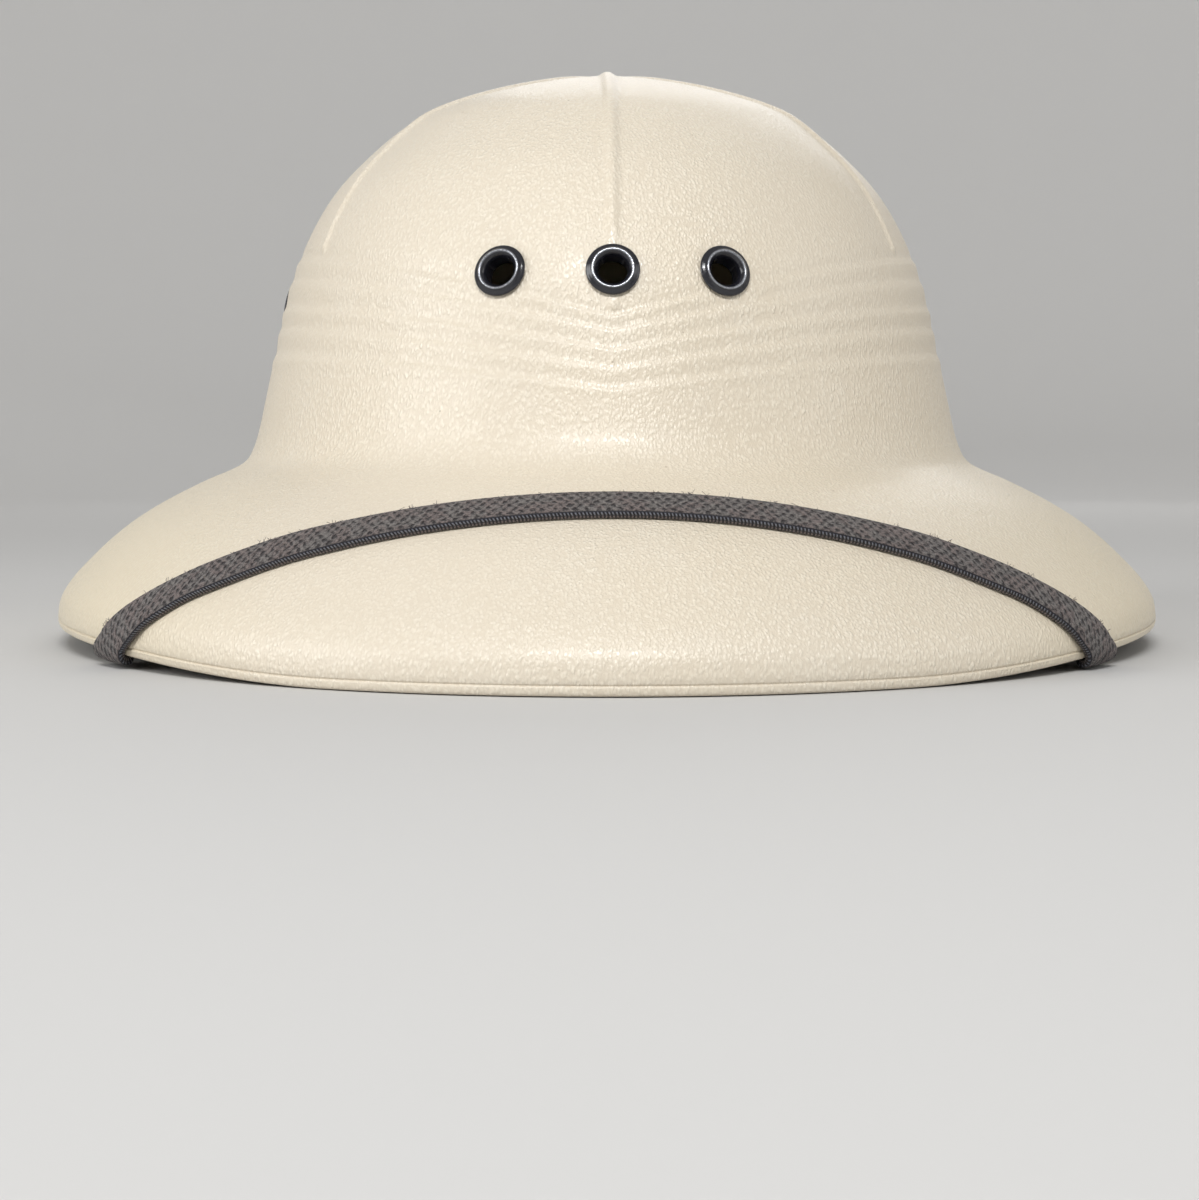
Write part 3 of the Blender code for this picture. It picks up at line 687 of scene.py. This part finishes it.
strap = {
    "width": 0.009,
    "thickness": 0.002,
    "edgeRadius": 0.0005,
    "topCrown": 0.05,
    "topSteps": 10,
    "turnLeft": 48.7,
    "turnRight": 51.4,
    "wrap": 118.0,
    "pastPost": 0.0075,
    "slack": 0.3,
    "brimRows": 150,
    "wrapRows": 60,
    "freeRows": 70,
    # route over the brim: share of the turn to the rim (the first mirrors the third), and of the way out
    "routeTurn": [-0.3, 0, 0.3, 0.6, 0.8, 0.9, 1.0],
    "routeOut": [0.366, 0.314, 0.366, 0.522, 0.712, 0.846, 1.0],
}
post = {
    "height": 0.056,
    "length": 0.0075,
    "radius": 0.002,
    "footRadius": 0.004,
    "footThickness": 0.0012,
    "headRadius": 0.0038,
    "headThickness": 0.0012,
    "black": shade(0.02, 0.02, 0.02),
    "scuffed": shade(0.05, 0.05, 0.05),
}
wrapRadius = (shell["rimThickness"] + clearance) / 2
wrapLine = float(wayAtHeight(shell["rimThickness"] / 2))
nearRim, atRim = list(zip(strap["routeTurn"], strap["routeOut"]))[-2:]
endSlope = (atRim[1] - nearRim[1]) / (atRim[0] - nearRim[0])


def splineAt(knotsAt, values, wanted):
    wanted = min(max(wanted, knotsAt[0]), knotsAt[-1])
    cell = min(int(np.searchsorted(knotsAt, wanted, side="right")) - 1, len(knotsAt) - 2)
    slopes = []
    for k in (cell, cell + 1):
        before, after = max(k - 1, 0), min(k + 1, len(knotsAt) - 1)
        slopes.append((values[after] - values[before]) / (knotsAt[after] - knotsAt[before]))
    span = knotsAt[cell + 1] - knotsAt[cell]
    s = (wanted - knotsAt[cell]) / span
    curve = (2 * s**3 - 3 * s**2 + 1) * values[cell] + (s**3 - 2 * s**2 + s) * span * slopes[0]
    return curve + (3 * s**2 - 2 * s**3) * values[cell + 1] + (s**3 - s**2) * span * slopes[1]


# Surface that the strap lies on: the brim, the rim's edge, then straight on inwards.
def wrapPoint(turn, way):
    turn, way = np.broadcast_arrays(np.asarray(turn, float), np.asarray(way, float))
    place = shellPoint(turn, np.minimum(way, wrapLine))
    out = shellNormal(turn, np.full(turn.shape, rimLine))
    out[..., 2] = 0.0
    out = unit(out)
    up = np.array((0.0, 0.0, 1.0))
    past = np.maximum(way - wrapLine, 0.0)[..., None]
    angle = np.minimum(past / wrapRadius, math.radians(strap["wrap"]))
    onwards = -out * np.sin(angle) - up * np.cos(angle)
    curl = (out * (np.cos(angle) - 1) - up * np.sin(angle)) * wrapRadius
    return place + curl + onwards * (past - angle * wrapRadius)


def routePlace(rimTurn, share):
    out = splineAt(strap["routeTurn"], strap["routeOut"], share) + max(share - 1.0, 0.0) * endSlope
    return np.array((share * rimTurn, crownLine + out * (wrapLine - crownLine)))


acrossShares = np.linspace(-0.5, 0.5, 13)


# Points across the strap on the surface below it, and the direction out at each.
def strapRow(turn, way, heading):
    roundIt, downIt = slopesOf(wrapPoint, turn, way)
    level, steep, both = roundIt @ roundIt, downIt @ downIt, roundIt @ downIt
    along = np.array((level * heading[0] + both * heading[1], both * heading[0] + steep * heading[1]))
    across = np.array((-along[1], along[0]))
    length = np.linalg.norm(across[0] * roundIt + across[1] * downIt)
    places = np.array((turn, way)) + across * (acrossShares * strap["width"] / length)[:, None]
    roundIt, downIt = slopesOf(wrapPoint, places[:, 0], places[:, 1])
    return wrapPoint(places[:, 0], places[:, 1]), unit(np.cross(downIt, roundIt))


def postFrame():
    way = float(wayAtHeight(post["height"]))
    inwards = -shellNormal(math.pi / 2, way)
    return shellPoint(math.pi / 2, way) + inwards * shell["wall"], inwards


# One half of the strap, from the front of the brim round the rim to its end on the post.
def strapHalf(rimTurn):
    perWay = 1 / (endSlope * (wrapLine - crownLine))
    near = 1.0 - strap["width"] / 2 * perWay
    past = 1.0 + (math.radians(strap["wrap"]) * wrapRadius + strap["width"] / 2) * perWay
    shares = [*(near * np.linspace(0, 1, strap["brimRows"]))]
    shares += [*np.linspace(near, past, strap["wrapRows"] + 1)[1:]]
    route = [routePlace(rimTurn, share) for share in shares]
    rows = []
    for k, place in enumerate(route):
        heading = route[min(k + 1, len(route) - 1)] - route[max(k - 1, 0)]
        rows.append(strapRow(*place, heading))
    foot, inwards = postFrame()
    middle = len(acrossShares) // 2
    points, outs = rows[-1]
    start, end = points[middle], foot + inwards * post["length"]
    leaving = unit(start - rows[-2][0][middle])
    arriving = end - start
    arriving = unit(arriving - inwards * (arriving @ inwards))
    pull = strap["slack"] * np.linalg.norm(end - start)
    steps = np.linspace(0, 1, strap["freeRows"] + 1)
    path = []
    for s in steps:
        fromRim = start * (1 - s) ** 3 + 3 * (start + leaving * pull) * s * (1 - s) ** 2
        path.append(fromRim + 3 * (end - arriving * pull) * s**2 * (1 - s) + end * s**3)
    path += [end + arriving * strap["pastPost"] * s for s in np.linspace(0, 1, 9)[1:]]
    for k in range(1, len(path)):
        share = steps[min(k, strap["freeRows"])]
        along = unit(path[min(k + 1, len(path) - 1)] - path[k - 1])
        out = outs[middle] * (1 - share) + inwards * share
        out = unit(out - along * (out @ along))
        across = np.cross(along, out)
        points = path[k] + across * (acrossShares * strap["width"])[:, None]
        rows.append((points, np.tile(out, (len(acrossShares), 1))))
    return rows


# Quarter turns of the strap's rounded edges, as distances in from its side and from its face.
def edgeRound(angles):
    radius, turns = strap["edgeRadius"], [math.radians(angle) for angle in angles]
    return [(radius * (1 - math.sin(turn)), radius * (1 - math.cos(turn))) for turn in turns]


# Section round the strap from the back edge on top: place across and height, both as shares.
def strapSection():
    inset = strap["edgeRadius"] / strap["width"]
    section = []
    for share in np.linspace(-0.5 + inset, 0.5 - inset, strap["topSteps"] + 1):
        crown = strap["topCrown"] * (1 - (2 * share) ** 4)
        section.append((share, 1 - strap["topCrown"] + crown))
    for side, deep in edgeRound((30, 60, 90)):
        section.append((0.5 - side / strap["width"], 1 - strap["topCrown"] - deep / strap["thickness"]))
    section.append((0.5, 0.5))
    for side, deep in edgeRound((60, 30, 0)):
        section.append((0.5 - side / strap["width"], deep / strap["thickness"]))
    for share in np.linspace(0.5 - inset, -0.5 + inset, 6)[1:-1]:
        section.append((share, 0.0))
    for side, deep in edgeRound((0, 30, 60, 90)):
        section.append((-0.5 + side / strap["width"], deep / strap["thickness"]))
    section.append((-0.5, 0.5))
    for side, deep in edgeRound((60, 30)):
        section.append((-0.5 + side / strap["width"], 1 - strap["topCrown"] - deep / strap["thickness"]))
    return section


def makeStrap():
    mirror = np.array((-1.0, 1.0, 1.0))
    left = strapHalf(math.radians(strap["turnLeft"]))
    right = strapHalf(math.radians(strap["turnRight"]))
    right = [(points * mirror, outs * mirror) for points, outs in right]
    rows = [*right[::-1], *left[1:]]
    section = strapSection()
    vertices, lengths, length, before = [], [], 0.0, None
    for points, outs in rows:
        middle = points[len(acrossShares) // 2]
        length += 0.0 if before is None else float(np.linalg.norm(middle - before))
        before = middle
        lengths.append(length)
        for share, height in section:
            base = np.array([np.interp(share, acrossShares, points[:, axis]) for axis in range(3)])
            out = np.array([np.interp(share, acrossShares, outs[:, axis]) for axis in range(3)])
            vertices.append(base + out * (clearance + height * strap["thickness"]))
    around = [0.0]
    for k in range(1, len(section) + 1):
        (s0, h0), (s1, h1) = section[k - 1], section[k % len(section)]
        step = math.hypot((s1 - s0) * strap["width"], (h1 - h0) * strap["thickness"])
        around.append(around[-1] + step)
    count = len(section)
    faces, corners = [], []
    for row in range(len(rows) - 1):
        first, second = row * count, (row + 1) * count
        for k in range(count):
            after = (k + 1) % count
            faces.append((first + k, first + after, second + after, second + k))
            corners += [(lengths[row], around[k]), (lengths[row], around[k + 1])]
            corners += [(lengths[row + 1], around[k + 1]), (lengths[row + 1], around[k])]
    for row in (0, len(rows) - 1):
        faces.append(tuple(row * count + k for k in range(count)))
        corners += [(lengths[row], around[k]) for k in range(count)]
    mesh = bpy.data.meshes.new("chinStrap")
    mesh.from_pydata([tuple(v) for v in vertices], [], faces)
    layer = mesh.uv_layers.new(name="weave")
    layer.data.foreach_set("uv", np.array(corners).ravel())
    piece = addObject("chinStrap", mesh)
    turnFacesOut(piece)
    return piece, around, length, rows[strap["freeRows"] : -strap["freeRows"]]


webbing = {
    "thread": shade(0.205, 0.188, 0.178),
    "reddish": shade(0.208, 0.170, 0.160),
    "dark": shade(0.022, 0.018, 0.019),
    "paintedEdgeShade": shade(0.012, 0.011, 0.016),
    "edgeRib": shade(0.20, 0.165, 0.165),
    "glint": shade(0.25, 0.265, 0.32),
    "strandLength": 0.0023,
    "strandWidth": 0.0030,
    "edgeStitch": 0.00078,
}


def webbingFinish(topWidth, frontDepth):
    uniform = {"Specular IOR Level": 0.3, "Sheen Weight": 0.15}
    material, wire, shader = newFinish("woven elastic", uniform)
    place = wire.add("ShaderNodeUVMap", {"uv_map": "weave"})
    where = wire.add("ShaderNodeTexCoord", output=3)
    u = wire.add("ShaderNodeSeparateXYZ", {}, {0: place}, 0)
    v = wire.add("ShaderNodeSeparateXYZ", {}, {0: place}, 1)
    loose = wire.noise(where, 500.0, 2.0, 0.5)
    fuzz = wire.noise(where, 3000.0, 3.0, 0.7)
    patch = wire.noise(where, 230.0, 2.0, 0.5)
    # braid: strands cross on the slant, and a dark gap shows where four of them meet
    along = (u + (loose - 0.5) * 0.0024) / webbing["strandLength"]
    across = (v + (patch - 0.5) * 0.0018) / webbing["strandWidth"]
    first = wire.maths("PINGPONG", along + across, 0.5) * 2
    second = wire.maths("PINGPONG", along - across, 0.5) * 2
    gap = 1 - wire.maths("MAXIMUM", first, second).ramped(0.0, 0.95)
    seam = 1 - wire.maths("MINIMUM", first, second).ramped(0.0, 0.45)
    mottle = wire.noise(where, 1700.0, 2.0, 0.65).ramped(0.34, 0.64)
    fibre = wire.maths("SINE", (along * 3.0 + across * 1.4) * 6.2832) * 0.5 + 0.5
    body = wire.mixed(patch.ramped(0.42, 0.6), webbing["thread"], webbing["reddish"])
    shadow = gap * (0.35 + 0.75 * loose.ramped(0.35, 0.65)) + seam * 0.22
    shadow = shadow + (1 - mottle) * 0.6 + (0.6 - fuzz) * 0.5
    topTone = wire.mixed(shadow, body, webbing["dark"])
    topHeight = 1 - gap * 0.8 - seam * 0.3 + 0.35 * mottle + 0.25 * fuzz + 0.1 * fibre
    # front edge: a dark line of painted shade, a row of bright slanting stitches with a painted glint,
    # then a row of small dark ribs with painted shade between them
    down = (v - topWidth) / frontDepth
    onFront = wire.maths("COMPARE", down, 0.5, 0.5)
    lace = (u + (loose - 0.5) * 0.0004) / webbing["edgeStitch"]
    stitch = wire.maths("PINGPONG", lace - down * 1.1, 0.5) * 2
    rib = wire.maths("PINGPONG", lace + 0.5, 0.5) * 2
    upper = 1 - wire.maths("ABSOLUTE", down - 0.30).ramped(0.06, 0.21)
    lower = 1 - wire.maths("ABSOLUTE", down - 0.72).ramped(0.12, 0.26)
    bright = stitch.ramped(0.35, 0.85) * upper * (0.45 + 0.9 * fuzz)
    ribs = rib.ramped(0.2, 0.8) * lower
    edgeTone = wire.mixed(ribs, webbing["paintedEdgeShade"], webbing["edgeRib"])
    edgeTone = wire.mixed(bright, edgeTone, webbing["glint"])
    feed(shader, "Base Color", wire.mixed(onFront, topTone, edgeTone))
    feed(shader, "Roughness", 0.92 - 0.42 * onFront)
    height = topHeight * (1 - onFront) + (bright + ribs + 0.2 * fuzz) * onFront
    feed(shader, "Normal", height.bumped(0.0003))
    return material


print("making the strap")
chinStrap, around, strapLength, overRows = makeStrap()
frontFrom, frontTo = around[strap["topSteps"] + 1], around[strap["topSteps"] + 7]
chinStrap.data.materials.append(webbingFinish(frontFrom, frontTo - frontFrom))
smoothUnder(chinStrap, 50)
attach(chinStrap, "root")
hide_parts("strap")
print("strap:", round(strapLength, 3), "m long,", len(chinStrap.data.polygons), "faces")


lint = {
    "tufts": 44,
    "hairsPerTuft": 6,
    "strays": 90,
    "shortest": 0.0005,
    "longest": 0.0013,
    "halfThick": 0.00006,
    "onTop": 0.25,
    "grey": shade(0.30, 0.27, 0.25),
    "brown": shade(0.17, 0.13, 0.11),
    "seed": 7,
}


# Loose hairs along the back edge of the strap and here and there on top, some of them in tufts.
def makeLint(rows):
    chance = np.random.default_rng(lint["seed"])
    curve = bpy.data.curves.new("strapLint", "CURVE")
    curve.dimensions = "3D"
    curve.bevel_depth = lint["halfThick"]
    curve.bevel_resolution = 0
    curve.use_fill_caps = True
    starts = [(spot, chance.random()) for spot in chance.uniform(0.06, 0.94, lint["strays"])]
    for spot in chance.uniform(0.1, 0.9, lint["tufts"]):
        where = chance.random()
        starts += [(spot + chance.normal(0, 0.0006), where) for hair in range(lint["hairsPerTuft"])]
    for spot, where in starts:
        points, outs = rows[int(spot * (len(rows) - 1))]
        middle = len(acrossShares) // 2
        out, backwards = outs[middle], unit(points[0] - points[-1])
        along = np.cross(out, backwards)
        if where < lint["onTop"]:
            start = points[0] + (points[-1] - points[0]) * (0.1 + 3.2 * where)
            start = start + out * (clearance + strap["thickness"])
            heading = out * 0.5 + backwards * chance.normal(0, 0.7) + along * chance.normal(0, 0.9)
        else:
            start = points[0] + out * (clearance + strap["thickness"] * chance.uniform(0.35, 0.95))
            heading = backwards + out * chance.uniform(-0.1, 0.6) + along * chance.normal(0, 0.6)
        start = start - backwards * 0.0001 - out * 0.0001
        step = unit(heading) * chance.uniform(lint["shortest"], lint["longest"]) / 4
        bend = (out * chance.normal(0, 0.4) + along * chance.normal(0, 0.6)) * np.linalg.norm(step)
        spline = curve.splines.new("POLY")
        spline.points.add(4)
        for k, point in enumerate(spline.points):
            point.co = (*(start + step * k + bend * k * k / 6), 1.0)
    makeActive(addObject("strapLint", curve))
    bpy.ops.object.convert(target="MESH")
    return bpy.context.object


def lintFinish():
    material, wire, shader = newFinish("loose lint", {"Specular IOR Level": 0.2})
    where = wire.add("ShaderNodeTexCoord", output=3)
    tuft = wire.noise(where, 260.0, 2.0)
    feed(shader, "Base Color", wire.mixed(tuft.ramped(0.4, 0.6), lint["grey"], lint["brown"]))
    feed(shader, "Roughness", 0.8 + 0.15 * tuft)
    return material


strapLint = makeLint(overRows)
strapLint.data.materials.append(lintFinish())
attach(strapLint, "root")
print("lint:", len(strapLint.data.polygons), "faces")


def postSection():
    head = post["length"] + 2 * clearance + strap["thickness"]
    top = head + post["headThickness"]
    foot, radius, wide = post["footRadius"], post["radius"], post["headRadius"]
    return [
        (0.0, 0.0),
        (foot, 0.0),
        (foot, post["footThickness"] - 0.0003),
        (foot - 0.0003, post["footThickness"]),
        (radius + 0.0004, post["footThickness"]),
        (radius, post["footThickness"] + 0.0004),
        (radius, head - 0.0003),
        (radius + 0.0001, head),
        (wide - 0.0002, head),
        (wide, head + 0.0002),
        (wide, top - 0.0004),
        (wide - 0.0004, top),
        (0.0, top),
    ]


def postFinish():
    material, wire, shader = newFinish("plain black plastic", {"IOR": 1.46})
    where = wire.add("ShaderNodeTexCoord", output=3)
    scuff = wire.noise(where, 500.0, 4.0, 0.6)
    feed(shader, "Base Color", wire.mixed(scuff.ramped(0.5, 0.8), post["black"], post["scuffed"]))
    feed(shader, "Roughness", 0.4 + 0.25 * scuff)
    feed(shader, "Normal", scuff.bumped(0.00003))
    return material


print("making the posts")
foot, inwards = postFrame()
postPlastic = postFinish()
for place, side in (("left", 1.0), ("right", -1.0)):
    mirror = np.array((side, 1.0, 1.0))
    stud = spunPiece("strapPost_" + place, postSection(), 40, closed=False)
    turned = Vector(inwards * mirror).to_track_quat("Z", "Y").to_matrix().to_4x4()
    stud.matrix_world = Matrix.Translation(Vector((foot + inwards * clearance) * mirror)) @ turned
    placeInMesh(stud)
    stud.data.materials.append(postPlastic)
    smoothUnder(stud, 35)
    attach(stud, "root")
    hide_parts("strap_post_" + place)


studio = {
    "floor": shade(0.60, 0.597, 0.59),
    "wall": shade(0.88, 0.877, 0.87),
    "flatRadius": 0.8,
    "floorRadius": 2.6,
    "floorDrop": 0.0002,  # under the rim
    "wallHeight": 2.2,
    "bend": 0.9,
    "sky": shade(1.0, 0.985, 0.96),
    "skyStrength": 0.34,
    "focal": 2268.75,  # for a picture 1200 wide
    "distance": 0.6262,
    "azimuth": 0.83,
    "elevation": 4.5,
    "shift": (-0.0054, 0.0233),
    "aim": (0, 0, 0.05),  # where the lamps point
    # name, place, width, height, watts
    "lamps": [
        ("front box", (-0.05, -1.05, 0.98), 0.62, 0.15, 10.4),
        ("side left", (-1.5, -0.6, 0.7), 0.9, 0.9, 10.6),
        ("side right", (1.5, -0.5, 0.7), 0.9, 0.9, 3.0),
        ("back", (0.25, 1.4, 0.95), 0.9, 0.9, 3.2),
    ],
}


# A round floor whose edge bends up into a low wall, so that no horizon shows from any side.
def makeFloor():
    wide, bend = studio["floorRadius"], studio["bend"]
    section = [(0.0, 0.0), (studio["flatRadius"], 0.0), (wide - bend, 0.0)]
    for angle in range(10, 91, 10):
        a = math.radians(angle)
        section.append((wide - bend + bend * math.sin(a), bend - bend * math.cos(a)))
    section.append((wide, studio["wallHeight"]))
    floor = spunPiece("studioFloor", section, 96, closed=False)
    floor.location.z = -studio["floorDrop"]
    placeInMesh(floor)
    makeActive(floor)
    bpy.ops.object.mode_set(mode="EDIT")
    bpy.ops.mesh.select_all(action="SELECT")
    bpy.ops.mesh.flip_normals()
    bpy.ops.object.mode_set(mode="OBJECT")
    smoothUnder(floor, 60)
    material, wire, shader = newFinish("pale floor", {"Roughness": 0.8})
    where = wire.add("ShaderNodeTexCoord", output=3)
    away = wire.add("ShaderNodeVectorMath", {"operation": "LENGTH"}, {0: where}, "Value")
    feed(shader, "Base Color", wire.mixed(away.ramped(0.5, 2.4), studio["floor"], studio["wall"]))
    floor.data.materials.append(material)


def makeLamp(name, place, width, height, watts):
    lamp = bpy.data.lights.new(name, "AREA")
    lamp.shape = "RECTANGLE"
    lamp.size, lamp.size_y = width, height
    lamp.energy = watts
    holder = addObject(name, lamp)
    holder.location = place
    holder.rotation_euler = (Vector(studio["aim"]) - Vector(place)).to_track_quat("-Z", "Y").to_euler()


def makeCamera():
    camera = bpy.data.cameras.new("camera")
    camera.sensor_width = 36.0
    camera.lens = studio["focal"] * 36.0 / 1200
    camera.shift_x, camera.shift_y = studio["shift"]
    camera.clip_start = 0.01
    holder = addObject("camera", camera)
    up, aside = math.radians(studio["elevation"]), math.radians(studio["azimuth"])
    level, high = studio["distance"] * math.cos(up), studio["distance"] * math.sin(up)
    holder.location = (-level * math.sin(aside), -level * math.cos(aside), high)
    holder.rotation_euler = (-Vector(holder.location)).to_track_quat("-Z", "Y").to_euler()
    bpy.context.scene.camera = holder


print("setting the studio")
makeFloor()
for lampRow in studio["lamps"]:
    makeLamp(*lampRow)
makeCamera()
world = bpy.data.worlds.new("studio")
world.use_nodes = True
world.node_tree.nodes["Background"].inputs[0].default_value = studio["sky"]
world.node_tree.nodes["Background"].inputs[1].default_value = studio["skyStrength"]
bpy.context.scene.world = world
bpy.context.scene.view_settings.view_transform = "Standard"

deselectAll()
